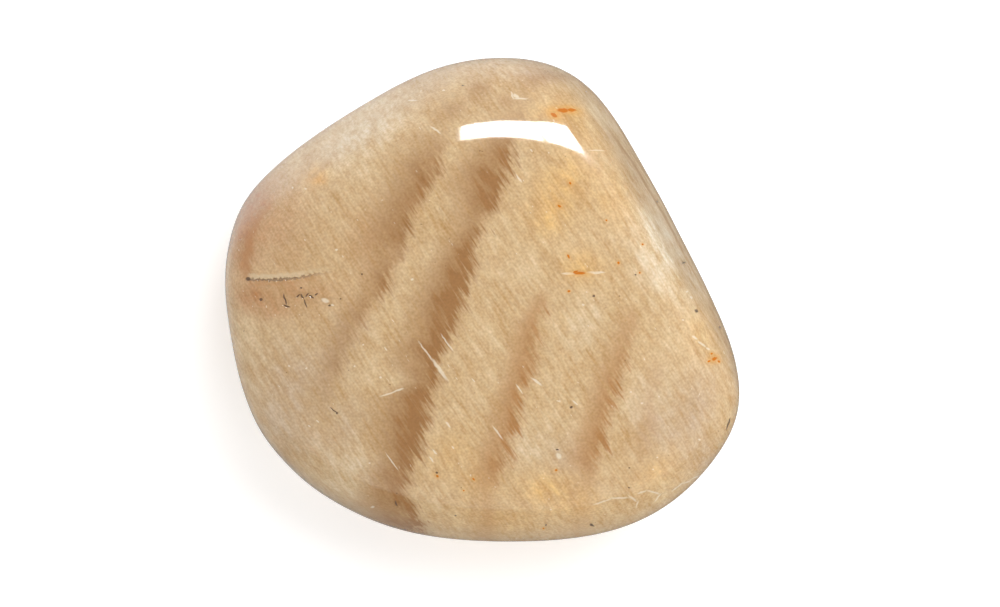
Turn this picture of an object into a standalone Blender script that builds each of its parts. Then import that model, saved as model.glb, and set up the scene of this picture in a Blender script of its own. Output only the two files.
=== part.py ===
"""A moonstone pebble, tumbled smooth and polished, lying on a small worn flat.

The pebble began as a broken block. Its broken faces are given by the way each one looks and by
its distance from the heart of the stone. Tumbling wore the corners between them round and left
every face slightly domed. Metres, +Z up, origin at the middle of the footprint.
"""

import bmesh
import bpy
import numpy as np
from mathutils import Vector

MM = 0.001

# Broken faces of the block: the bearing of the outward direction, in degrees from +X towards +Y,
# its upward slope in degrees, and the distance from the heart in millimetres.
SIDE_FACES = (
    (29, 12, 12.3),
    (64, 10, 15.9),
    (92, 10, 15.4),
    (125, 18, 13.3),
    (155, 6, 20.0),
    (188, -8, 15.8),
    (216, -4, 18.2),
    (240, 10, 16.0),
    (268, 14, 15.2),
    (296, 6, 18.3),
    (324, -4, 19.0),
    (352, -10, 18.3),
)
UPPER_FACES = (
    (70, 88, 8.9),
    (84, 58, 11.6),
)
UNDER_FACES = (
    (0, -90, 9.2),
    (20, -46, 13.0),
    (110, -50, 13.4),
    (200, -56, 13.0),
    (275, -44, 13.6),
    (330, -58, 12.6),
)

# Half lengths of the oval that domes the faces, in millimetres.
OVAL = (20.0, 19.0, 8.7)
# How crisp the worn corners are: a larger number gives a block with sharper edges.
CRISPNESS = 12
# The heart of the stone, seen from the middle of its footprint, in millimetres.
HEART = (0.05, 0.0, 8.2)
# Each step of subdivision splits every triangle of the icosphere in four.
SUBDIVISIONS = 5


def clear_scene():
    for obj in list(bpy.data.objects):
        bpy.data.objects.remove(obj, do_unlink=True)


def face_directions(faces):
    """Unit vectors for bearings and slopes in degrees."""
    bearing, slope = np.radians(np.array(faces, float)[:, :2]).T
    return np.stack(
        [np.cos(slope) * np.cos(bearing), np.cos(slope) * np.sin(bearing), np.sin(slope)],
        axis=1,
    )


def worn_radius(directions):
    """Distance in millimetres from the heart to the surface along each unit direction.

    A plane at distance d along n is met at d / (n . u), and the oval at its own radius. The
    surface is the power mean of all of them, so the nearest one rules and two that are about
    as near melt together into a round corner.
    """
    faces = SIDE_FACES + UPPER_FACES + UNDER_FACES
    distance = np.array(faces, float)[:, 2]
    facing = np.maximum(directions @ face_directions(faces).T, 0.0)
    planes = ((facing / distance) ** CRISPNESS).sum(axis=1)
    oval = np.linalg.norm(directions / np.array(OVAL), axis=1) ** CRISPNESS
    return (planes + oval) ** (-1.0 / CRISPNESS)


def shape_pebble(mesh):
    """An icosphere pushed out to the worn surface, with the resting flat cut at z = 0."""
    bm = bmesh.new()
    bmesh.ops.create_icosphere(bm, subdivisions=SUBDIVISIONS, radius=1.0)
    directions = np.array([vert.co.normalized() for vert in bm.verts])
    places = (directions * worn_radius(directions)[:, None] + np.array(HEART)) * MM
    for vert, place in zip(bm.verts, places):
        vert.co = Vector(place)

    everything = bm.verts[:] + bm.edges[:] + bm.faces[:]
    cut = bmesh.ops.bisect_plane(
        bm,
        geom=everything,
        dist=0.001 * MM,
        plane_co=(0, 0, 0),
        plane_no=(0, 0, 1),
        clear_inner=True,
    )
    for vert in bm.verts:
        vert.co.z = max(vert.co.z, 0.0)
    rim = [item for item in cut["geom_cut"] if isinstance(item, bmesh.types.BMEdge)]
    flat = bmesh.ops.contextual_create(bm, geom=rim)["faces"]
    for face in bm.faces:
        face.smooth = face not in flat
    bmesh.ops.recalc_face_normals(bm, faces=bm.faces[:])
    bm.to_mesh(mesh)
    bm.free()


def moonstone_material():
    """Milky, warm beige feldspar with a polished face."""
    material = bpy.data.materials.new("polished_moonstone")
    material.use_nodes = True
    shader = material.node_tree.nodes["Principled BSDF"]
    shader.inputs["Base Color"].default_value = (0.58, 0.39, 0.22, 1.0)
    shader.inputs["Roughness"].default_value = 0.12
    shader.inputs["Metallic"].default_value = 0.0
    shader.inputs["IOR"].default_value = 1.53
    return material


def build_moonstone(collection):
    mesh = bpy.data.meshes.new("moonstone")
    shape_pebble(mesh)
    mesh.materials.append(moonstone_material())
    pebble = bpy.data.objects.new("moonstone", mesh)
    collection.objects.link(pebble)
    return pebble


def main():
    clear_scene()
    collection = bpy.data.collections.new("tumbled_moonstone")
    bpy.context.scene.collection.children.link(collection)
    build_moonstone(collection)


main()
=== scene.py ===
# %% [markdown]
# # A tumbled moonstone
#
# A moonstone is a piece of feldspar. This one was broken from a larger lump, then rolled with
# sand in a drum until its corners were round and its skin shone. It is milky, so light goes a
# little way into it and comes out again, and it has darker, clearer bands where the milk is
# missing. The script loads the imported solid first, because that fixes the size and the place of
# everything that follows.

import bpy
import numpy as np
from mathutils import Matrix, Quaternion, Vector


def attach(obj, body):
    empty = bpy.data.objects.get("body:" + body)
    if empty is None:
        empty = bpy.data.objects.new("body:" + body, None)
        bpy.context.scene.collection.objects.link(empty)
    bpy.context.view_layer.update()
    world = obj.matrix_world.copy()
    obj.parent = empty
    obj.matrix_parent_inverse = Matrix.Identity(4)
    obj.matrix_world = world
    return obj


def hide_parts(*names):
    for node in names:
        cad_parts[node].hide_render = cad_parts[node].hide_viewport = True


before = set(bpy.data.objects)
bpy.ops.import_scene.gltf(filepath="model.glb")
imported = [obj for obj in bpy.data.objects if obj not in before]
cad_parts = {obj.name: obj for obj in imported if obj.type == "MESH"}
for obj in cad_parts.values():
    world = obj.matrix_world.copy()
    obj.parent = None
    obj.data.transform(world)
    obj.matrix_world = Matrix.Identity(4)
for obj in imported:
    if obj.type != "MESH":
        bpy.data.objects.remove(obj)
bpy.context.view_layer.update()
NODE = "moonstone"
MM = 0.001

# %% [markdown]
# ## Reading places off the photograph
#
# The camera looked straight down, so a place on the photograph is a place on the stone seen from
# above. The stone's longest extent is 34 mm and covers 537 pixels. Marks are easiest to note in
# pixels, because that is how they are found, and one function turns them into metres.

# %% Pixels to metres and back
LONGEST_EXTENT = 34 * MM
LONGEST_EXTENT_PIXELS = 537
PIXEL = LONGEST_EXTENT / LONGEST_EXTENT_PIXELS
STONE_CENTRE_PIXEL = (482.5, 299.0)
PHOTO_SIZE = (1000, 607)


def to_plan(column, row):
    """Photograph columns and rows to x and y in metres: right is +X and up is +Y."""
    x = (np.asarray(column, float) - STONE_CENTRE_PIXEL[0]) * PIXEL
    y = (STONE_CENTRE_PIXEL[1] - np.asarray(row, float)) * PIXEL
    return x, y


def to_photo(x, y):
    """The same the other way round: x and y in metres to columns and rows."""
    return STONE_CENTRE_PIXEL[0] + x / PIXEL, STONE_CENTRE_PIXEL[1] - y / PIXEL


print("one pixel is", round(PIXEL / MM, 4), "mm")

# %% [markdown]
# ## The worn form
#
# Tumbling works on every corner at once, so the form is written the same way. The stone starts
# as a block with flat broken faces. Along any direction from its heart each face has a distance,
# and a power mean of all those distances gives a surface that follows the nearest face and melts
# into a round corner where two are about as near. An oval joins the mean and domes the faces.
# Sculpting would give the same look, but a formula can be sampled as finely as the render needs.

# %% The faces of the broken block
# Bearing of the outward direction in degrees from +X towards +Y, upward slope in degrees, and
# distance from the heart in millimetres.
SIDE_FACES = (
    (29, 12, 12.3),
    (64, 10, 15.9),
    (92, 10, 15.4),
    (125, 18, 13.3),
    (155, 6, 20.0),
    (188, -8, 15.8),
    (216, -4, 18.2),
    (240, 10, 16.0),
    (268, 14, 15.2),
    (296, 6, 18.3),
    (324, -4, 19.0),
    (352, -10, 18.3),
)
UPPER_FACES = (
    (70, 88, 8.9),
    (84, 58, 11.6),
)
UNDER_FACES = (
    (0, -90, 9.2),
    (20, -46, 13.0),
    (110, -50, 13.4),
    (200, -56, 13.0),
    (275, -44, 13.6),
    (330, -58, 12.6),
)
OVAL = np.array((20.0, 19.0, 8.7)) * MM
CRISPNESS = 12
HEART = np.array((0.05, 0.0, 8.2)) * MM

# %% The skin as a distance from the heart
def directions(bearing, slope):
    """Unit vectors for a bearing from +X towards +Y and an upward slope, both in radians."""
    bearing, slope = np.broadcast_arrays(bearing, slope)
    level = np.cos(slope)
    return np.stack([level * np.cos(bearing), level * np.sin(bearing), np.sin(slope)], axis=-1)


def worn_radius(along):
    """Heart to skin: the sum of (facing / distance)^k and (1 / oval)^k, to the power -1/k."""
    faces = np.array(SIDE_FACES + UPPER_FACES + UNDER_FACES, float)
    normals = directions(*np.radians(faces[:, :2]).T)
    facing = np.maximum(along @ normals.T, 0.0) / (faces[:, 2] * MM)
    oval = np.linalg.norm(along / OVAL, axis=-1)
    return ((facing**CRISPNESS).sum(axis=-1) + oval**CRISPNESS) ** (-1.0 / CRISPNESS)


def height_on_top(x, y):
    """Height of the upper skin over a place, by halving the span that holds it."""
    low = np.full(np.shape(x), HEART[2])
    high = low + OVAL[0]
    for _ in range(40):
        middle = (low + high) / 2
        reach = np.stack([x - HEART[0], y - HEART[1], middle - HEART[2]], axis=-1)
        length = np.linalg.norm(reach, axis=-1)
        inside = length < worn_radius(reach / length[..., None])
        low = np.where(inside, middle, low)
        high = np.where(inside, high, middle)
    return (low + high) / 2


print("height of the dome in mm", round(float(height_on_top(0.0, 0.0)) / MM, 2))

# %% [markdown]
# ## A grid of bearings and slopes
#
# The grid has one line of points for each slope, from the top of the stone to its underside. A
# step of one degree is short near the heart and long near the rim, so the slopes are spaced by
# the length of a mean outline instead. The upper half, where the marks are, gets more lines.

# %% The spacing of the lines
COLUMNS = 560
ROWS = 175
SHARE_BELOW = 0.4


def even_slopes(count):
    """Slopes whose steps are equal along the mean outline, looser below the widest line."""
    slope = np.linspace(np.pi / 2, -np.pi / 2, 1800)
    bearing = np.linspace(0, 2 * np.pi, 24, endpoint=False)
    along = directions(bearing[None, :], slope[:, None])
    points = along * worn_radius(along)[..., None]
    step = np.linalg.norm(np.diff(points, axis=0), axis=-1).mean(axis=1)
    step = step * np.where(slope[1:] > 0, 1.0, SHARE_BELOW)
    walked = np.concatenate([[0.0], np.cumsum(step)])
    wanted = np.linspace(0, walked[-1], count + 2)[1:-1]
    return np.interp(wanted, walked, slope)


# %% The skin on the grid
bearings = np.linspace(0, 2 * np.pi, COLUMNS, endpoint=False)[None, :]
slopes = even_slopes(ROWS)[:, None]
along = directions(bearings, slopes)
to_floor = HEART[2] / np.maximum(-along[..., 2], 1e-9)
reach = np.minimum(worn_radius(along), to_floor)
skin = HEART + along * reach[..., None]


def outward(points):
    """Unit normals: the cross product of the step down a column and the step along a row."""
    down = np.gradient(points, axis=0)
    along_row = np.roll(points, -1, axis=1) - np.roll(points, 1, axis=1)
    across = np.cross(down, along_row)
    return across / np.linalg.norm(across, axis=-1, keepdims=True)


skin_normals = outward(skin)
low, high = skin.min(axis=(0, 1)) / MM, skin.max(axis=(0, 1)) / MM
print("skin box in mm", low.round(2), high.round(2))
print("normals point out:", bool((skin_normals * (skin - HEART)).sum(axis=-1).min() > 0))

# %% [markdown]
# ## What tumbling left on the skin
#
# A tumbled stone isn't a perfect form. Its faces are very slightly wavy, which bends reflections,
# and a few old scars are too deep to wear away: a hairline crack on the left, a flake by the lamp's
# reflection, a small ledge near the lower right edge, and two chipped places. Each scar is a
# function of the plan, added along the normal, so it is real shape and shows in the mesh.

# %% Soft shapes in the plan
def soft_spot(column, row, place, half_size, turn=0.0):
    """exp(-(a^2 + b^2)): a and b run along the turned axes, in units of the half sizes (mm)."""
    x = (column - place[0]) * PIXEL
    y = (place[1] - row) * PIXEL
    angle = np.radians(turn)
    a = (x * np.cos(angle) + y * np.sin(angle)) / (half_size[0] * MM)
    b = (-x * np.sin(angle) + y * np.cos(angle)) / (half_size[1] * MM)
    return np.exp(-(a**2 + b**2))


def smoothstep(value, low, high):
    """0 below low, 1 above high, and the cubic 3t^2 - 2t^3 between them."""
    t = np.clip((value - low) / (high - low), 0.0, 1.0)
    return t * t * (3 - 2 * t)


# %% The scars, in plan
CRACK = ((251, 280), (271, 280.7), (299, 278.7), (326, 274), (346, 272))
CRACK_WIDTH = 0.14
CRACK_DEPTH = 0.05
LEDGE = ((590, 501), (626, 494), (637, 499), (645, 489), (660, 492), (672, 487), (700, 474))
LEDGE_DROP = 0.05
DENTS = (
    # column, row, half length, half width in mm, turn in degrees, depth in mm
    (518, 99, 0.55, 0.28, 12, 0.035),
    (580, 273.5, 1.25, 0.16, 0, 0.03),
    (698, 342, 0.60, 0.30, -38, 0.04),
    (312, 298, 0.90, 0.25, -4, 0.04),
    (330, 302, 0.30, 0.18, -20, 0.04),
    (265, 299.6, 0.14, 0.14, 0, 0.04),
    (711, 358, 0.30, 0.22, 20, 0.03),
)
WAVE_PHASE_STEP = 1.7
WAVES = (
    # wave length in mm, bearing in degrees, rise in degrees, height in mm
    (7.9, 20, 10, 0.010),
    (6.3, 75, -15, 0.010),
    (5.4, 140, 25, 0.007),
    (4.6, 110, 5, 0.005),
)


def line_offset(column, row, path):
    """How far a place lies above the path in mm, and how far along it runs from 0 to 1."""
    path = np.array(path, float)
    offset = (np.interp(column, path[:, 0], path[:, 1]) - row) * PIXEL / MM
    run = (column - path[0, 0]) / (path[-1, 0] - path[0, 0])
    return offset, run


# %% The relief
def relief(points, normals):
    """Waves over all the skin, and on top the crack's groove, the ledge's drop and the dents."""
    column, row = to_photo(points[..., 0], points[..., 1])
    rise = np.zeros(column.shape)
    for number, (length, bearing, slope, height) in enumerate(WAVES):
        way = directions(np.radians(bearing), np.radians(slope))
        phase = 2 * np.pi * (points @ way) / (length * MM) + WAVE_PHASE_STEP * number
        rise += height * np.sin(phase)
    above, run = line_offset(column, row, CRACK)
    groove = np.exp(-((above / CRACK_WIDTH) ** 2))
    groove = groove * smoothstep(run, 0, 0.03) * smoothstep(1 - run, 0, 0.5)
    above, run = line_offset(column, row, LEDGE)
    drop = smoothstep(-above, -0.06, 0.06) * np.exp(-np.maximum(-above, 0) / 1.2)
    drop = drop * smoothstep(run, 0, 0.1) * smoothstep(1 - run, 0, 0.3)
    marks = CRACK_DEPTH * groove + LEDGE_DROP * drop
    for column_, row_, length, width, turn, depth in DENTS:
        marks = marks + depth * soft_spot(column, row, (column_, row_), (length, width), turn)
    rise -= marks * smoothstep(normals[..., 2], 0.05, 0.3)
    return rise * MM * smoothstep(points[..., 2], 0.2 * MM, 2.0 * MM)


shift = relief(skin, skin_normals)
skin = skin + skin_normals * shift[..., None]
print("relief in mm", (shift.min() / MM).round(3), "to", (shift.max() / MM).round(3))

# %% [markdown]
# ## From grid to mesh
#
# Each cell of the grid becomes one four-sided face. The last column joins the first, and one
# point at each pole closes the ends, so the mesh has no seam and no hole.

# %% One closed mesh from the grid
def closed_mesh(name, points, top, bottom):
    """Rows of points joined round and round, with a fan of triangles at each pole."""
    rows, columns = points.shape[:2]
    index = np.arange(rows * columns).reshape(rows, columns)
    following = np.roll(index, -1, axis=1)
    cells = np.stack([index[:-1], index[1:], following[1:], following[:-1]], axis=-1)
    pole = np.full(columns, rows * columns)
    top_fan = np.stack([pole, index[0], following[0]], axis=-1)
    bottom_fan = np.stack([pole + 1, following[-1], index[-1]], axis=-1)
    faces = cells.reshape(-1, 4).tolist() + top_fan.tolist() + bottom_fan.tolist()
    vertices = np.concatenate([points.reshape(-1, 3), [top, bottom]])
    mesh = bpy.data.meshes.new(name)
    mesh.from_pydata(vertices.tolist(), [], faces)
    mesh.shade_smooth()
    return mesh, vertices


top_point = skin[0].mean(axis=0)
bottom_point = np.array([HEART[0], HEART[1], 0.0])
stone_mesh, vertices = closed_mesh("stone_surface", skin, top_point, bottom_point)
stone = bpy.data.objects.new("stone_surface", stone_mesh)
bpy.context.scene.collection.objects.link(stone)
print("triangles", sum(len(face.vertices) - 2 for face in stone_mesh.polygons))

# %% [markdown]
# ## The bands
#
# The dark bands are slabs of clear feldspar between milky ones. They run through the whole stone
# and lean a little as they go down, so they come out on its sides and its underside too. Each has
# a sharp right edge and fades out on its left. The place of the edge, the width and the darkness
# are noted where they change, going down the photograph, and numpy fills in between. Every vertex
# stores two numbers for a band: how far it lies inside the sharp edge, and how dark the band is
# there. Both change slowly, so the mesh carries them well, and the shader draws the fine edge.

# %% The bands, noted down the photograph
BANDS = {
    # row, column of the sharp edge, width in mm, darkness from 0 to 1
    "main": (
        (60, 552, 1.6, 0.15),
        (110, 528, 1.8, 0.25),
        (150, 514, 2.3, 0.70),
        (165, 513, 2.7, 0.90),
        (182, 510, 3.0, 1.00),
        (206, 502, 2.4, 0.95),
        (222, 488, 2.0, 0.55),
        (238, 481, 1.8, 0.75),
        (250, 477, 1.8, 0.90),
        (266, 477, 2.3, 1.00),
        (281, 474, 2.5, 1.00),
        (298, 469, 2.7, 1.00),
        (314, 465, 2.8, 1.00),
        (331, 458, 2.5, 1.00),
        (347, 451, 2.9, 0.95),
        (364, 440, 2.4, 0.75),
        (380, 444, 1.8, 0.90),
        (396, 438, 2.9, 0.95),
        (413, 434, 2.9, 1.00),
        (438, 426, 2.5, 1.00),
        (454, 425, 2.4, 1.00),
        (471, 417, 2.5, 0.95),
        (488, 412, 2.6, 0.85),
        (504, 418, 3.3, 0.80),
        (521, 424, 3.7, 0.85),
        (545, 434, 4.0, 0.85),
    ),
    "right": (
        (288, 550, 0.7, 0.00),
        (296, 549, 0.9, 0.45),
        (311, 546, 1.3, 0.62),
        (327, 541, 1.5, 0.70),
        (344, 539, 1.6, 0.75),
        (372, 537, 1.8, 0.82),
        (388, 527, 1.5, 0.85),
        (405, 524, 1.7, 0.80),
        (421, 524, 1.8, 0.85),
        (438, 512, 1.5, 0.80),
        (463, 508, 1.8, 0.75),
        (476, 503, 1.7, 0.60),
        (490, 497, 1.3, 0.35),
        (510, 496, 1.2, 0.40),
        (545, 498, 1.4, 0.40),
    ),
    "far_right": (
        (300, 640, 0.9, 0.00),
        (312, 637, 1.1, 0.35),
        (335, 631, 1.3, 0.50),
        (360, 625, 1.5, 0.62),
        (380, 620, 1.6, 0.72),
        (396, 616, 1.6, 0.75),
        (430, 608, 1.7, 0.80),
        (446, 605, 1.8, 0.85),
        (458, 601, 1.8, 0.72),
        (471, 599, 1.6, 0.45),
        (490, 596, 1.4, 0.22),
        (540, 588, 1.4, 0.25),
    ),
    "left": (
        (130, 452, 2.0, 0.15),
        (150, 447, 2.4, 0.45),
        (165, 444, 2.6, 0.70),
        (182, 441, 2.7, 0.75),
        (206, 423, 2.4, 0.75),
        (223, 418, 2.3, 0.80),
        (240, 413, 2.6, 0.70),
        (256, 409, 2.4, 0.45),
        (270, 397, 1.6, 0.60),
        (281, 395, 1.5, 0.75),
        (290, 393, 1.5, 0.75),
        (298, 386, 1.5, 0.65),
        (312, 373, 1.5, 0.60),
        (330, 362, 1.5, 0.50),
        (350, 352, 1.4, 0.45),
        (370, 346, 1.3, 0.50),
        (385, 340, 1.2, 0.30),
        (420, 336, 1.2, 0.05),
    ),
    "faint": (
        (345, 666, 1.0, 0.00),
        (370, 661, 1.1, 0.28),
        (400, 657, 1.3, 0.34),
        (440, 650, 1.3, 0.30),
        (465, 645, 1.1, 0.05),
    ),
}
WIDEST_HEIGHT = 7.5
LEAN = (0.30, 0.12)
FADE_FROM = 0.20
FADE_TO = 1.75

# %% Storing numbers on the vertices
def store(name, values):
    """One number for each vertex, which the shader reads back by name."""
    layer = stone_mesh.attributes.new(name, "FLOAT", "POINT")
    layer.data.foreach_set("value", np.ascontiguousarray(values, dtype=np.float32))


below = np.maximum(WIDEST_HEIGHT * MM - vertices[:, 2], 0.0)
columns, rows = to_photo(vertices[:, 0] + LEAN[0] * below, vertices[:, 1] + LEAN[1] * below)
for name, stops in BANDS.items():
    row_stops, column_stops, width_stops, dark_stops = np.array(stops, float).T
    inside = (np.interp(rows, row_stops, column_stops) - columns) * PIXEL / MM
    width = np.interp(rows, row_stops, width_stops)
    darkness = np.interp(rows, row_stops, dark_stops)
    fade = 1 - smoothstep(inside / width, FADE_FROM, FADE_TO)
    store("inside_" + name, inside)
    store("tone_" + name, darkness * fade)
    print("band", name, "covers", int((darkness * fade * (inside > 0) > 0.3).sum()), "vertices")

# %% [markdown]
# ## Clouds of tint
#
# Iron has stained the milk amber in some places, and elsewhere it is nearly cream or a greyish
# rose. The brown along the left side is partly stain and partly painted shade, on the side that
# lies away from the lamps. These clouds are much larger than the marks, so soft spots
# noted one by one are enough: a place, two half sizes, a turn and an amount. The spots of one tint
# are joined so that they never add up to more than one.

# %% Where each tint lies
TINTS = {
    # column, row, half length mm, half width mm, turn in degrees, amount
    "cream": (
        (378, 130, 2.6, 1.4, 35, 0.35),
        (655, 250, 3.2, 1.5, -62, 0.75),
        (345, 145, 1.4, 0.8, 35, 0.20),
        (525, 440, 1.6, 1.2, 0, 0.25),
        (645, 395, 2.0, 1.4, 60, 0.30),
        (352, 472, 2.0, 1.4, 70, 0.30),
        (600, 120, 1.6, 1.0, -50, 0.30),
        (585, 330, 1.6, 1.0, 70, 0.20),
        (315, 500, 2.0, 0.6, -38, 0.30),
    ),
    "amber": (
        (560, 192, 2.4, 1.6, 60, 0.65),
        (580, 268, 1.4, 1.0, 0, 0.60),
        (545, 222, 1.2, 1.2, 0, 0.35),
        (612, 205, 2.0, 1.1, -62, 0.35),
        (452, 450, 1.6, 1.1, 60, 0.35),
        (548, 487, 1.9, 1.1, 0, 0.65),
        (575, 500, 1.4, 0.8, 0, 0.40),
        (478, 478, 1.6, 1.2, 60, 0.40),
        (500, 520, 2.4, 0.9, 0, 0.40),
        (650, 470, 1.6, 0.8, 30, 0.40),
        (565, 116, 1.3, 0.7, 0, 0.70),
        (318, 176, 0.8, 0.7, 0, 0.65),
        (560, 130, 2.6, 1.2, -20, 0.30),
        (700, 330, 1.2, 1.8, 0, 0.25),
    ),
    # Partly painted shade: the long spots by the left edge darken the side away from the lamps, over a
    # real brown stain.
    "umber_and_shade": (
        (256, 205, 2.2, 0.9, 65, 0.75),
        (247, 245, 2.0, 0.9, 85, 0.85),
        (275, 205, 2.2, 1.7, 30, 0.40),
        (285, 245, 2.4, 2.0, 0, 0.35),
        (258, 296, 1.4, 0.9, 0, 0.65),
        (300, 292, 1.8, 0.7, 0, 0.45),
        (276, 311, 1.6, 0.7, 0, 0.35),
        (372, 243, 1.6, 2.4, 0, 0.30),
        (330, 300, 2.2, 1.4, 20, 0.20),
    ),
    "orange": (
        (563, 113, 0.80, 0.30, 0, 0.65),
        (554, 119, 0.40, 0.30, -30, 0.45),
        (711, 358, 0.42, 0.30, 20, 0.55),
        (578, 273.5, 0.60, 0.16, 0, 0.40),
        (322, 182, 0.40, 0.30, 0, 0.35),
        (569, 186, 0.25, 0.25, 0, 0.30),
        (559, 207, 0.30, 0.22, -40, 0.30),
        (437, 472, 0.30, 0.20, -40, 0.25),
    ),
    "clay": (
        (480, 93, 0.9, 0.9, 0, 0.60),
        (454, 113, 0.9, 0.6, 30, 0.55),
        (536, 83, 0.8, 0.4, 20, 0.45),
        (552, 77, 1.0, 0.4, -10, 0.45),
        (505, 104, 0.5, 0.4, 0, 0.40),
    ),
    "rose": (
        (300, 385, 2.6, 3.2, 0, 0.55),
        (350, 335, 2.2, 1.2, 60, 0.35),
        (290, 440, 2.2, 1.6, -50, 0.35),
        (692, 405, 2.6, 1.5, 75, 0.60),
        (655, 425, 2.0, 1.4, 75, 0.40),
        (700, 455, 1.4, 1.0, 45, 0.50),
        (562, 455, 1.5, 1.2, 70, 0.40),
        (350, 425, 2.0, 1.2, 70, 0.35),
        (530, 78, 2.5, 0.6, 0, 0.40),
    ),
}

for name, spots in TINTS.items():
    remaining = np.ones(columns.shape)
    for column, row, length, width, turn, amount in spots:
        remaining *= 1 - amount * soft_spot(columns, rows, (column, row), (length, width), turn)
    store("tint_" + name, 1 - remaining)
    print("tint", name, "reaches", round(float((1 - remaining).max()), 2))

# %% Lines that follow the skin
# Painted shade: a thin darker line along the upper right rim, where the top turns down.
RIM_SHADE_LINE = ((600, 120), (608.5, 131), (631, 161), (642, 179), (668, 223), (679, 244), (690, 268))
# Painted shade: a brown line along the left ridge, where the top turns down to the side.
RIDGE_SHADE_LINE = ((281, 190), (267, 210), (259.5, 224.5), (254, 237.5), (252, 245), (250, 264), (252, 281))


def offset_across(column, row, path):
    """How far a place lies right of a steep path in mm, and how far down it runs from 0 to 1."""
    path = np.array(path, float)
    offset = (column - np.interp(row, path[:, 1], path[:, 0])) * PIXEL / MM
    run = (row - path[0, 1]) / (path[-1, 1] - path[0, 1])
    return offset, run


def fade_ends(run, share):
    """Rises from 0 over the first share of a line and falls to 0 over its last share."""
    return smoothstep(run, 0, share) * smoothstep(1 - run, 0, share)


on_top = smoothstep(vertices[:, 2], (WIDEST_HEIGHT - 2) * MM, WIDEST_HEIGHT * MM)
photo_column, photo_row = to_photo(vertices[:, 0], vertices[:, 1])
crack_above, crack_run = line_offset(photo_column, photo_row, CRACK)
store("crack_above", crack_above)
store("crack_strength", smoothstep(crack_run, 0, 0.03) * smoothstep(1 - crack_run, 0, 0.6) * on_top)
rim_shade_right, rim_shade_run = offset_across(photo_column, photo_row, RIM_SHADE_LINE)
store("rim_shade_right", rim_shade_right)
store("rim_shade_strength", fade_ends(rim_shade_run, 0.25) * on_top)
ridge_shade_right, ridge_shade_run = offset_across(photo_column, photo_row, RIDGE_SHADE_LINE)
store("ridge_shade_right", ridge_shade_right)
store("ridge_shade_strength", smoothstep(ridge_shade_run, 0, 0.4) * smoothstep(1 - ridge_shade_run, 0, 0.04) * on_top)
store("dull", soft_spot(photo_column, photo_row, (600, 160), (1.0, 0.7), -20) * on_top)
print("vertices on top", int((on_top > 0.5).sum()))

# %% [markdown]
# ## Small marks
#
# Rust dots, dark pits and white flecks are a tenth of a millimetre wide, finer than the mesh. The
# shader draws them instead. Each mark is an oval with a place on the skin: space is turned, moved
# and scaled until the oval is a ball of radius one, and the distance to its middle says how far
# inside a point is. The nearest mark wins, so a whole list costs three nodes a mark. One pale
# streak among the flecks is a painted highlight that carries the lamp's bright bar past its end.

# %% The marks, noted on the photograph
RUST_MARKS = (
    # column, row, half length mm, half width mm, turn in degrees
    (562, 113.0, 0.42, 0.15, 3),
    (571, 112.5, 0.34, 0.11, 8),
    (553, 118.0, 0.24, 0.13, -32),
    (569, 185.5, 0.10, 0.08, -60),
    (558, 208.0, 0.12, 0.08, -45),
    (567, 257.5, 0.14, 0.07, -50),
    (567.5, 291.6, 0.09, 0.07, 0),
    (616, 264.0, 0.10, 0.08, 60),
    (637, 273.0, 0.07, 0.06, 0),
    (640, 245.5, 0.07, 0.06, 0),
    (604, 222.0, 0.07, 0.06, 0),
    (438.5, 473.0, 0.11, 0.08, -60),
    (474, 476.0, 0.11, 0.07, -30),
    (464, 487.0, 0.06, 0.05, 0),
    (555, 467.0, 0.08, 0.07, 0),
    (543, 526.0, 0.07, 0.06, 45),
    (578, 273.8, 0.38, 0.09, -3),
    (574, 272.3, 0.18, 0.06, 20),
    (711.5, 358.0, 0.22, 0.12, 25),
    (709, 353.0, 0.09, 0.07, 0),
    (716, 360.5, 0.12, 0.08, 0),
    (706, 360.5, 0.10, 0.06, 20),
)
DARK_MARKS = (
    (463, 88.0, 0.07, 0.06, 0),
    (586.5, 91.5, 0.07, 0.06, 0),
    (641.6, 171.6, 0.07, 0.06, 0),
    (676.7, 228.6, 0.07, 0.06, 0),
    (633, 275.5, 0.07, 0.06, 0),
    (591.6, 296.0, 0.08, 0.07, 0),
    (683, 262.8, 0.30, 0.05, 19),
    (658.5, 201.6, 0.18, 0.05, 0),
    (694, 310.6, 0.12, 0.09, -40),
    (719, 327.5, 0.09, 0.07, 0),
    (733, 356.0, 0.09, 0.07, 0),
    (726, 423.0, 0.40, 0.06, 75),
    (569.5, 405.0, 0.08, 0.06, 0),
    (556, 447.0, 0.08, 0.06, 0),
    (627, 465.0, 0.06, 0.05, 0),
    (627, 485.0, 0.06, 0.05, 0),
    (397.5, 501.0, 0.19, 0.05, -80),
    (456, 512.6, 0.06, 0.05, 0),
    (545.6, 522.4, 0.06, 0.05, 0),
    (340, 411.0, 0.07, 0.06, 0),
    (337, 408.5, 0.30, 0.03, -40),
    (265, 299.6, 0.11, 0.09, 0),
    (252, 279.5, 0.14, 0.11, 0),
    (289, 299.5, 0.34, 0.05, -68),
    (291, 306.2, 0.22, 0.05, -20),
    (302, 296.0, 0.13, 0.05, 40),
    (306, 296.5, 0.16, 0.05, -50),
    (311, 295.0, 0.15, 0.05, 55),
    (315, 297.0, 0.16, 0.05, -42),
    (320, 294.5, 0.12, 0.05, 30),
    (309, 303.5, 0.28, 0.04, -68),
    (333, 305.5, 0.07, 0.05, 0),
    (344, 299.0, 0.06, 0.05, 0),
    (305, 288.0, 0.06, 0.05, 0),
    (365, 275.0, 0.06, 0.05, 0),
    (438, 469.5, 0.07, 0.06, 0),
    (591, 523.0, 0.20, 0.07, -40),
)
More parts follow.
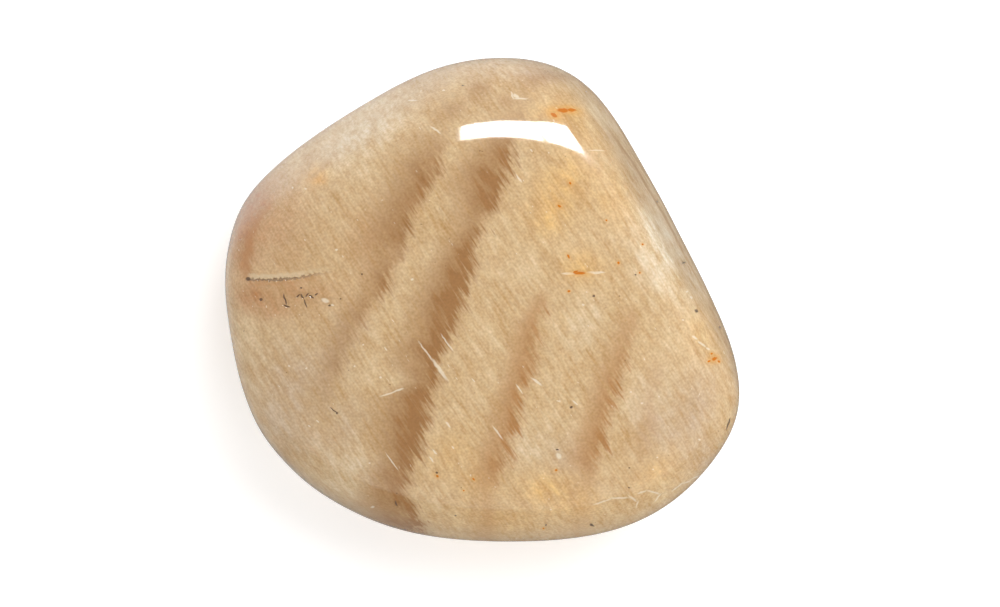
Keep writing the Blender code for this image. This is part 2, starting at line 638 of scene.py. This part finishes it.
PALE_FLECKS_AND_GLINT = (
    (295, 189.0, 0.08, 0.06, -40),
    (308.5, 190.5, 0.08, 0.06, -40),
    (340, 251.0, 0.07, 0.06, 0),
    (414, 280.0, 0.10, 0.06, 20),
    (437, 133.0, 0.44, 0.06, -28),
    (444, 92.5, 0.09, 0.07, 0),
    (413.5, 102.5, 0.42, 0.04, 0),
    (518.6, 181.0, 0.32, 0.06, -56),
    (448.5, 342.0, 0.62, 0.05, -56),
    (428, 351.0, 0.75, 0.05, -48),
    (441, 368.0, 0.85, 0.11, -53),
    (394, 458.5, 0.66, 0.04, -54),
    (497.7, 429.7, 0.52, 0.06, -47),
    (449, 422.0, 0.22, 0.06, -50),
    (436, 449.0, 0.20, 0.05, -50),
    (433, 456.5, 0.22, 0.05, -56),
    (454, 444.5, 0.12, 0.05, -56),
    (392, 391.5, 0.60, 0.05, 17),
    (401, 388.0, 0.30, 0.05, 15),
    (383, 376.0, 0.07, 0.06, 0),
    (357.5, 365.0, 0.06, 0.05, 0),
    (388, 348.0, 0.13, 0.05, -50),
    (366, 344.0, 0.07, 0.05, 0),
    (313, 424.0, 0.11, 0.05, -45),
    (321, 419.0, 0.11, 0.05, -45),
    (374, 505.0, 0.16, 0.07, 12),
    (372, 460.0, 0.06, 0.05, 0),
    (293, 365.0, 0.06, 0.05, 0),
    (310, 367.0, 0.07, 0.05, 0),
    (639.5, 401.5, 0.08, 0.06, 0),
    (573.5, 400.7, 0.22, 0.06, -45),
    (628, 390.0, 0.07, 0.05, 0),
    (581.5, 305.0, 0.09, 0.06, 0),
    (684.6, 292.0, 0.08, 0.05, 0),
    (688.7, 297.6, 0.10, 0.06, -40),
    (680, 319.7, 0.07, 0.05, 0),
    (557.5, 453.0, 0.20, 0.15, -60),
    (697, 438.0, 0.07, 0.05, 0),
    (655, 455.0, 0.06, 0.05, 0),
    (651, 467.0, 0.06, 0.05, 0),
    # Painted highlight: a thin pale streak that carries the lamp's bright bar on past its right end.
    (597, 153.0, 1.00, 0.03, 0),
    (567, 274.3, 0.42, 0.06, -4),
    (594, 273.2, 0.55, 0.08, 4),
    (512, 98.0, 0.30, 0.05, -68),
    (520, 101.6, 0.45, 0.06, 4),
    (516, 99.0, 0.24, 0.12, -30),
    (536, 380.0, 0.40, 0.07, -30),
    (519, 387.0, 0.35, 0.05, -50),
    (692, 337.0, 0.20, 0.08, -35),
    (699, 343.5, 0.34, 0.08, -32),
    (705, 348.0, 0.14, 0.07, -20),
    (329, 300.5, 0.24, 0.14, -20),
    (336, 305.0, 0.10, 0.06, 0),
)
LEDGE_MARKS = (
    (601, 499.0, 0.52, 0.05, 14),
    (618, 495.3, 0.55, 0.05, 9),
    (631, 496.0, 0.35, 0.06, -27),
    (635.5, 502.0, 0.22, 0.04, 80),
    (640, 489.7, 0.26, 0.05, 18),
    (652, 490.2, 0.52, 0.05, -13),
    (656, 496.0, 0.30, 0.04, 50),
    (676, 485.0, 0.42, 0.04, 28),
    (685.5, 480.5, 0.28, 0.04, 24),
    (694, 476.0, 0.35, 0.04, 22),
)
SMUDGE_MARKS = (
    (571, 490.0, 0.50, 0.16, 0),
    (306, 294.0, 0.95, 0.18, -3),
    (289, 303.0, 0.30, 0.35, 0),
)
MARK_DEPTH = 0.6
print("marks", sum(map(len, (RUST_MARKS, DARK_MARKS, PALE_FLECKS_AND_GLINT, LEDGE_MARKS, SMUDGE_MARKS))))

# %% [markdown]
# ## Shader sums that read like sums
#
# A node tree for a mask of ten terms is hard to read as boxes. A small class holds one output of
# a node, and Python's own signs add the Math nodes. One more method adds any other node: its
# settings first, then a value or another output for each of its sockets.

# %% A wire between nodes
class Wire:
    """One output of a node. A sign such as + or * between wires adds a Math node."""

    def __init__(self, socket):
        self.socket = socket

    def node(self, kind, settings=None, inputs=None, output=0):
        """Adds a node, gives it its settings, then fills its sockets by name or by number."""
        tree = self.socket.id_data
        made = tree.nodes.new(kind)
        for name, value in (settings or {}).items():
            setattr(made, name, value)
        for name, value in (inputs or {}).items():
            if isinstance(value, Wire):
                tree.links.new(value.socket, made.inputs[name])
            else:
                made.inputs[name].default_value = value
        return Wire(made.outputs[output])

    def maths(self, operation, first, second=0.0):
        return self.node("ShaderNodeMath", {"operation": operation}, {0: first, 1: second})

    def __add__(self, other):
        return self.maths("ADD", self, other)

    def __radd__(self, other):
        return self.maths("ADD", other, self)

    def __sub__(self, other):
        return self.maths("SUBTRACT", self, other)

    def __rsub__(self, other):
        return self.maths("SUBTRACT", other, self)

    def __mul__(self, other):
        return self.maths("MULTIPLY", self, other)

    def __rmul__(self, other):
        return self.maths("MULTIPLY", other, self)

    def __neg__(self):
        return self.maths("MULTIPLY", self, -1.0)

    def __abs__(self):
        return self.maths("ABSOLUTE", self)

    def least(self, other):
        return self.maths("MINIMUM", self, other)

    def most(self, other):
        return self.maths("MAXIMUM", self, other)

    def step(self, low, high):
        """0 below low and 1 above high, or the other way round when low is the larger."""
        if low > high:
            return 1 - self.step(high, low)
        settings = {"interpolation_type": "SMOOTHSTEP"}
        inputs = {"Value": self, "From Min": low, "From Max": high}
        return self.node("ShaderNodeMapRange", settings, inputs)


def mixed(amount, first, second):
    """The first colour where amount is 0 and the second where it is 1."""
    settings = {"data_type": "RGBA"}
    return amount.node("ShaderNodeMix", settings, {0: amount, 6: first, 7: second}, 2)


def tinted(colour, tint):
    """One colour times another."""
    settings = {"data_type": "RGBA", "blend_type": "MULTIPLY"}
    return colour.node("ShaderNodeMix", settings, {0: 1.0, 6: colour, 7: tint}, 2)


def scaled(colour, amount):
    """A colour times a number, as a vector, so that it stays a colour."""
    return amount.node("ShaderNodeVectorMath", {"operation": "SCALE"}, {0: colour, "Scale": amount})


# %% [markdown]
# ## The colours
#
# Colours are noted as they look in the photograph, from 0 to 255. The lights are a little
# stronger than one, so each is divided by that after the screen's curve is taken off.

# %% Paints
LIGHT_LEVEL = 1.25


def paint(red, green, blue):
    """Screen colour to the share of light that the stone gives back."""
    seen = np.array((red, green, blue)) / 255
    light = np.where(seen <= 0.04045, seen / 12.92, ((seen + 0.055) / 1.055) ** 2.4)
    return tuple((light / LIGHT_LEVEL).tolist()) + (1.0,)


MILK = paint(218, 185, 137)
CREAM = paint(235, 215, 180)
AMBER = paint(228, 180, 108)
UMBER = paint(186, 128, 74)
CLAY = paint(178, 136, 90)
ORANGE = paint(222, 150, 48)
ROSE = paint(197, 168, 136)
CLEAR = paint(166, 120, 72)
CLEAR_WARM = paint(182, 132, 80)
RUST = paint(208, 116, 14)
DARK = paint(74, 46, 24)
PALE = paint(250, 238, 214)

# %% The material and its places
material = bpy.data.materials.new("polished_moonstone")
material.use_nodes = True
shader = material.node_tree.nodes["Principled BSDF"]
start = Wire(shader.outputs[0])
place = start.node("ShaderNodeTexCoord", output="Object")


def attribute(name):
    """A number stored on the vertices."""
    return start.node("ShaderNodeAttribute", {"attribute_name": name}, output="Fac")


def fitted(where, centre, turn, size):
    """Space moved, turned and scaled until an oval of that centre, turn and size is a unit ball."""
    rotation = (0, 0, np.radians(turn))
    inputs = {"Vector": where, "Location": centre, "Rotation": rotation, "Scale": size}
    return start.node("ShaderNodeMapping", {"vector_type": "TEXTURE"}, inputs)


def noise(where, detail=2.0, roughness=0.55):
    """Soft noise about 0 whose spots are about one unit apart."""
    inputs = {"Vector": where, "Scale": 1.0, "Detail": detail, "Roughness": roughness}
    return start.node("ShaderNodeTexNoise", {}, inputs, "Fac") - 0.5


# %% [markdown]
# ## Hair, clouds and grain
#
# The milk is made of countless thin plates that all lie the same way. Seen from above they are
# fine strokes that run down to the right, a sixth of a millimetre wide and a little over one
# long. Noise gives them when its space is turned and stretched. A softer noise gives clouds, and
# a fine one gives grain.

# %% Noises at several scales
STROKE_TURN = -56
FINE_STROKE = (1.3 * MM, 0.16 * MM, 0.8 * MM)
MIDDLE_STROKE = (1.9 * MM, 0.40 * MM, 1.6 * MM)
BROAD_STROKE = (3.4 * MM, 0.80 * MM, 2.6 * MM)
CLOUD = (3.0 * MM, 2.2 * MM, 2.6 * MM)
MOTTLE = (0.75 * MM, 0.55 * MM, 0.75 * MM)
GRAIN = (0.15 * MM, 0.15 * MM, 0.15 * MM)
ORIGIN = (0, 0, 0)

fine_hair = noise(fitted(place, ORIGIN, STROKE_TURN, FINE_STROKE), 1.0)
middle_hair = noise(fitted(place, (3 * MM, 0, 0), STROKE_TURN - 4, MIDDLE_STROKE), 1.0)
broad_hair = noise(fitted(place, (0, 7 * MM, 0), STROKE_TURN + 3, BROAD_STROKE), 1.0)
clouds = noise(fitted(place, (0, 5 * MM, 0), 60, CLOUD), 2.0, 0.6)
mottle = noise(fitted(place, (9 * MM, 0, 0), STROKE_TURN, MOTTLE), 1.0, 0.6)
grain = noise(fitted(place, ORIGIN, 0, GRAIN), 0.0)

# %% [markdown]
# ## Feathered bands
#
# A band's sharp edge isn't a line: the plates of the milk reach over it like fringe. The hair
# noise is added to the distance from the edge before the mask is cut, so each stroke pushes the
# edge out or in along its own length.

# %% One mask for each band
EDGE = (-0.35, 0.75)
fringe = 2.1 * fine_hair + 1.4 * middle_hair + 0.9 * broad_hair
veil = 1.08 + 0.7 * fine_hair + 0.8 * middle_hair + 0.9 * broad_hair + 0.5 * clouds
masks = {}
for name in BANDS:
    edge = (attribute("inside_" + name) + fringe).step(*EDGE)
    masks[name] = edge * (attribute("tone_" + name) * veil).most(0.0).least(1.0)
dark_bands = masks["main"].most(masks["left"])
warm_bands = masks["right"].most(masks["far_right"]).most(masks["faint"])
any_band = dark_bands.most(warm_bands)
print("masks", list(masks))

# %% The milk, tint by tint
patchy = 1 + 1.4 * clouds + 0.8 * broad_hair + 1.0 * middle_hair + 1.0 * mottle
milk = MILK
layers = (
    ("rose", ROSE),
    ("cream", CREAM),
    ("amber", AMBER),
    ("umber_and_shade", UMBER),
    ("clay", CLAY),
    ("orange", ORANGE),
)
for name, colour in layers:
    milk = mixed((attribute("tint_" + name) * patchy).most(0.0).least(1.0), milk, colour)

# %% Strokes, clouds and grain over the milk
DEEP_SHADE = (0.76, 0.64, 0.46, 1.0)
PALE_SHADE = (1.18, 1.32, 1.60, 1.0)
texture = 0.5 + 0.75 * fine_hair + 0.55 * middle_hair + 0.45 * broad_hair + 0.50 * clouds
texture = texture + 0.25 * mottle + 0.25 * grain
milk = tinted(milk, mixed(texture, DEEP_SHADE, PALE_SHADE))
stone_colour = mixed(warm_bands, milk, CLEAR_WARM)
stone_colour = mixed(dark_bands, stone_colour, CLEAR)
stone_colour = scaled(stone_colour, 1 + 0.25 * grain + 0.12 * mottle)

# %% [markdown]
# ## Marks and lines
#
# The marks come last, over the bands. Their edges are bent by a fine noise so that none is a
# perfect oval.

# %% Distance to the nearest mark of a list
BEND = 0.09 * MM
BEND_SPOT = 0.28 * MM
TURN_STEP = 18
turned_places = {}
inputs = {"Vector": place, "Scale": 1 / BEND_SPOT, "Detail": 0.0}
bent_noise = place.node("ShaderNodeTexNoise", {}, inputs, "Color")
inputs = {0: bent_noise, 1: (0.5, 0.5, 0.5)}
bend = bent_noise.node("ShaderNodeVectorMath", {"operation": "SUBTRACT"}, inputs)
inputs = {0: bend, 1: (BEND, BEND, BEND), 2: place}
bent_place = bend.node("ShaderNodeVectorMath", {"operation": "MULTIPLY_ADD"}, inputs)


def turned(turn):
    """Space turned so that a mark of that turn lies along X. Each turn is made once."""
    if turn not in turned_places:
        settings = {"rotation_type": "Z_AXIS"}
        inputs = {"Vector": bent_place, "Angle": np.radians(-turn)}
        turned_places[turn] = bend.node("ShaderNodeVectorRotate", settings, inputs)
    return turned_places[turn]


def nearest(marks):
    """The least distance to any mark, where 1 is a mark's own edge."""
    found = None
    for column, row, length, width, turn in marks:
        turn = TURN_STEP * round(turn / TURN_STEP)
        x, y = (float(value) for value in to_plan(column, row))
        cos, sin = np.cos(np.radians(turn)), np.sin(np.radians(turn))
        centre = np.array((x * cos + y * sin, y * cos - x * sin, float(height_on_top(x, y))))
        scale = 1 / (np.array((length, width, MARK_DEPTH)) * MM)
        inputs = {0: turned(turn), 1: tuple(scale), 2: tuple(-centre * scale)}
        ball = bend.node("ShaderNodeVectorMath", {"operation": "MULTIPLY_ADD"}, inputs)
        distance = ball.node("ShaderNodeVectorMath", {"operation": "LENGTH"}, {0: ball}, "Value")
        found = distance if found is None else found.least(distance)
    return found


rust_reach = nearest(RUST_MARKS)
rust = rust_reach.step(1.15, 0.65)
rust_halo = rust_reach.step(3.2, 0.8)
dark = nearest(DARK_MARKS).step(1.25, 0.75)
# White flecks, and one streak of painted highlight at the end of the lamp's bar.
flecks_and_glint = nearest(PALE_FLECKS_AND_GLINT).step(1.35, 0.6)
ledge = nearest(LEDGE_MARKS).step(1.7, 0.6)
smudge = nearest(SMUDGE_MARKS).step(1.3, 0.3) * (0.5 + 1.5 * fine_hair)

# %% The crack, and two brown lines of painted shade where the top turns down
crack_above = attribute("crack_above") + 0.25 * grain
crack_strength = attribute("crack_strength")
crack = abs(crack_above).step(0.10, 0.03) * crack_strength
crack_lip = abs(crack_above - 0.22).step(0.22, 0.05) * crack_strength
crack_shade = abs(crack_above + 0.20).step(0.25, 0.05) * crack_strength
# Painted shade: a brown line along the left ridge, where the top turns down to the side.
ridge_shade = abs(attribute("ridge_shade_right") + 0.3 * fine_hair).step(0.40, 0.05) * attribute("ridge_shade_strength")
# Painted shade: a thin darker line along the upper right rim, where the top turns down.
rim_shade = abs(attribute("rim_shade_right")).step(0.16, 0.03) * attribute("rim_shade_strength")

# %% White sparks and dark specks that are too many to list
SPARK = (0.42 * MM, 0.20 * MM, 0.30 * MM)
SPECK = (0.30 * MM, 0.30 * MM, 0.30 * MM)
sparks = noise(fitted(bent_place, (7 * MM, 0, 0), STROKE_TURN, SPARK), 1.0)
sparks = sparks.step(0.25, 0.30) * (1 - 0.7 * any_band)
specks = noise(fitted(bent_place, (0, 9 * MM, 0), 0, SPECK), 1.0)
specks = specks.step(0.29, 0.33)

# %% All of it over the stone
finishes = (
    # where it lies, how strong it is there, and its colour
    # painted shade along the left ridge
    (ridge_shade, 0.60, UMBER),
    # painted shade along the upper right rim
    (rim_shade, 0.50, CLAY),
    (smudge.most(0.0), 0.60, CLAY),
    (crack_lip, 0.45, CREAM),
    (crack_shade, 0.35, UMBER),
    (crack, 0.50, DARK),
    (sparks, 0.55, PALE),
    (specks, 0.45, DARK),
    # white flecks, and one painted highlight by the lamp's bar
    (flecks_and_glint, 0.60, PALE),
    (ledge, 0.50, PALE),
    (rust_halo, 0.45, AMBER),
    (rust, 0.95, RUST),
    (dark, 0.80, DARK),
)
for mask, strength, colour in finishes:
    stone_colour = mixed(mask * strength, stone_colour, colour)
links = material.node_tree.links
links.new(stone_colour.socket, shader.inputs["Base Color"])

# %% [markdown]
# ## Polish
#
# The skin is polished, so a lamp shows in it with a crisp edge. Pits are duller, and so is a
# small scuffed place at the right end of the lamp's reflection. Feldspar bends light about as
# much as glass, and light comes back out of its milk a millimetre from where it went in.

# %% Gloss, pits and milkiness
POLISH = 0.07
PIT_DULLNESS = 0.35
FLECK_DULLNESS = 0.10
roughness = POLISH + PIT_DULLNESS * dark.most(crack) + PIT_DULLNESS * attribute("dull")
roughness = roughness + FLECK_DULLNESS * flecks_and_glint + FLECK_DULLNESS * ledge
links.new(roughness.least(0.9).socket, shader.inputs["Roughness"])
shader.inputs["IOR"].default_value = 1.53
shader.inputs["Subsurface Weight"].default_value = 0.30
shader.inputs["Subsurface Radius"].default_value = (1.0, 0.6, 0.35)
shader.inputs["Subsurface Scale"].default_value = 1.0 * MM

PIT_DEPTH = 0.04 * MM
height = -dark.most(crack)
inputs = {"Strength": 1.0, "Distance": PIT_DEPTH, "Height": height}
links.new(height.node("ShaderNodeBump", {}, inputs).socket, shader.inputs["Normal"])
stone_mesh.materials.append(material)
print("nodes", len(material.node_tree.nodes))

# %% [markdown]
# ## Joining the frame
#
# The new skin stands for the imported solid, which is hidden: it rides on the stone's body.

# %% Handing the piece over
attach(stone, "root")
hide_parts(NODE)

# %% [markdown]
# ## The studio
#
# The stone lies on a white, faintly glowing sheet such as a light table, in a pale room. A long
# softbox beyond the stone makes the bright bar on its far shoulder. It bends round the stone and
# down at one end, so it is made of small flat lamps edge to edge. A broad soft lamp from the upper
# right does most of the lighting, with a weaker one from the lower right. Both are kept out of
# the reflections so that the bar stays alone.

# %% The sheet
FLOOR_HALF = 4.0
sheet_mesh = bpy.data.meshes.new("white_sheet")
sides = ((-1, -1), (1, -1), (1, 1), (-1, 1))
sheet_mesh.from_pydata([(x * FLOOR_HALF, y * FLOOR_HALF, 0) for x, y in sides], [], [(0, 1, 2, 3)])
sheet = bpy.data.objects.new("white_sheet", sheet_mesh)
bpy.context.scene.collection.objects.link(sheet)
sheet.visible_glossy = False
white = bpy.data.materials.new("white_paper")
white.use_nodes = True
paper = white.node_tree.nodes["Principled BSDF"]
paper.inputs["Base Color"].default_value = (0.92, 0.92, 0.92, 1.0)
paper.inputs["Roughness"].default_value = 0.9
paper.inputs["Specular IOR Level"].default_value = 0.0
paper.inputs["Emission Color"].default_value = (1.0, 1.0, 1.0, 1.0)
paper.inputs["Emission Strength"].default_value = 0.32
sheet_mesh.materials.append(white)

# %% Lamps
# Bearing and slope of the strip's middle line, and its height, all in degrees.
STRIP_PATH = (
    (93.5, 34.6, 12.6),
    (85.0, 33.6, 11.4),
    (77.0, 31.8, 11.6),
    (66.0, 24.8, 13.0),
    (57.0, 14.5, 11.0),
)
STRIP_PARTS = 9
STRIP_RADIANCE = 32.0
STRIP_DISTANCE = 0.6
STRIP_OVERLAP = 1.05
FILL = {"bearing": 305, "slope": 32, "distance": 0.6, "size": (0.40, 0.30), "watts": 0.9}
SOFT = {"bearing": 55, "slope": 60, "distance": 0.6, "size": (0.35, 0.35), "watts": 2.4}


def area_lamp(name, bearing, slope, distance, size, watts, roll=0):
    """A rectangular lamp at that bearing and slope from the stone, facing it."""
    data = bpy.data.lights.new(name, "AREA")
    data.shape = "RECTANGLE"
    data.size, data.size_y = size
    data.energy = watts
    lamp = bpy.data.objects.new(name, data)
    spot = Vector(directions(np.radians(bearing), np.radians(slope)).tolist()) * distance
    lamp.location = spot
    facing = (-spot).to_track_quat("-Z", "Y") @ Quaternion((0, 0, 1), np.radians(roll))
    lamp.rotation_euler = facing.to_euler()
    lamp.visible_camera = False
    bpy.context.scene.collection.objects.link(lamp)
    return lamp


stops = np.array(STRIP_PATH).T
ends = np.linspace(stops[0, 0], stops[0, -1], STRIP_PARTS + 1)
slopes_at = np.interp(-ends, -stops[0], stops[1])
heights_at = np.interp(-ends, -stops[0], stops[2])
for number in range(STRIP_PARTS):
    lines = (ends, slopes_at, heights_at)
    bearing, slope, tall = ((line[number] + line[number + 1]) / 2 for line in lines)
    across = (ends[number] - ends[number + 1]) * np.cos(np.radians(slope))
    drop = slopes_at[number] - slopes_at[number + 1]
    width = np.hypot(across, drop) * STRIP_OVERLAP
    size = [2 * STRIP_DISTANCE * np.tan(np.radians(angle / 2)) for angle in (width, tall)]
    watts = STRIP_RADIANCE * np.pi * size[0] * size[1]
    roll = np.degrees(np.arctan2(drop, across))
    part = area_lamp(f"strip_{number}", bearing, slope, STRIP_DISTANCE, size, watts, roll)
    part.visible_diffuse = False
fill = area_lamp("fill_lamp", **FILL)
fill.visible_glossy = False
soft = area_lamp("soft_lamp", **SOFT)
soft.visible_glossy = False

# %% The room
# Its walls are brighter than its ceiling, and low on the upper left something white stands near.
CEILING = 0.45
WALLS = 0.95
LOW_DARK = 0.22
LOW_BRIGHT = 0.85
room = bpy.data.worlds.new("pale_room")
bpy.context.scene.world = room
room.use_nodes = True
background = room.node_tree.nodes["Background"]
way = Wire(background.outputs[0]).node("ShaderNodeTexCoord", output="Generated")
parts = way.node("ShaderNodeSeparateXYZ", {}, {0: way})
height = Wire(parts.socket.node.outputs["Z"])
upper_left = directions(np.radians(140), 0.0)
inputs = {0: way, 1: tuple(upper_left)}
side = way.node("ShaderNodeVectorMath", {"operation": "DOT_PRODUCT"}, inputs, "Value")
above = CEILING + (WALLS - CEILING) * height.step(0.95, 0.15)
under = LOW_DARK + (LOW_BRIGHT - LOW_DARK) * side.step(-0.1, 0.6)
is_above = height.step(-0.04, 0.04)
strength = under + (above - under) * is_above
background.inputs["Color"].default_value = (1, 1, 1, 1)
room.node_tree.links.new(strength.socket, background.inputs["Strength"])
bpy.context.scene.view_settings.view_transform = "Standard"

# %% [markdown]
# ## The camera
#
# It looks straight down from 0.4 m, with +Y up in the picture. The lens is worked out so that a
# pixel at the height of the outline is as wide as in the photograph.

# %% Camera
CAMERA_HEIGHT = 0.4
SENSOR = 36.0
camera_data = bpy.data.cameras.new("camera")
camera_data.sensor_width = SENSOR
camera_data.lens = SENSOR * CAMERA_HEIGHT / (PHOTO_SIZE[0] * PIXEL)
camera_data.clip_start = 0.01
camera_data.clip_end = 20
camera = bpy.data.objects.new("camera", camera_data)
centre_x, centre_y = to_plan(PHOTO_SIZE[0] / 2, PHOTO_SIZE[1] / 2)
camera.location = (centre_x, centre_y, CAMERA_HEIGHT + WIDEST_HEIGHT * MM)
bpy.context.scene.collection.objects.link(camera)
bpy.context.scene.camera = camera
print("lens in mm", round(camera_data.lens, 1))
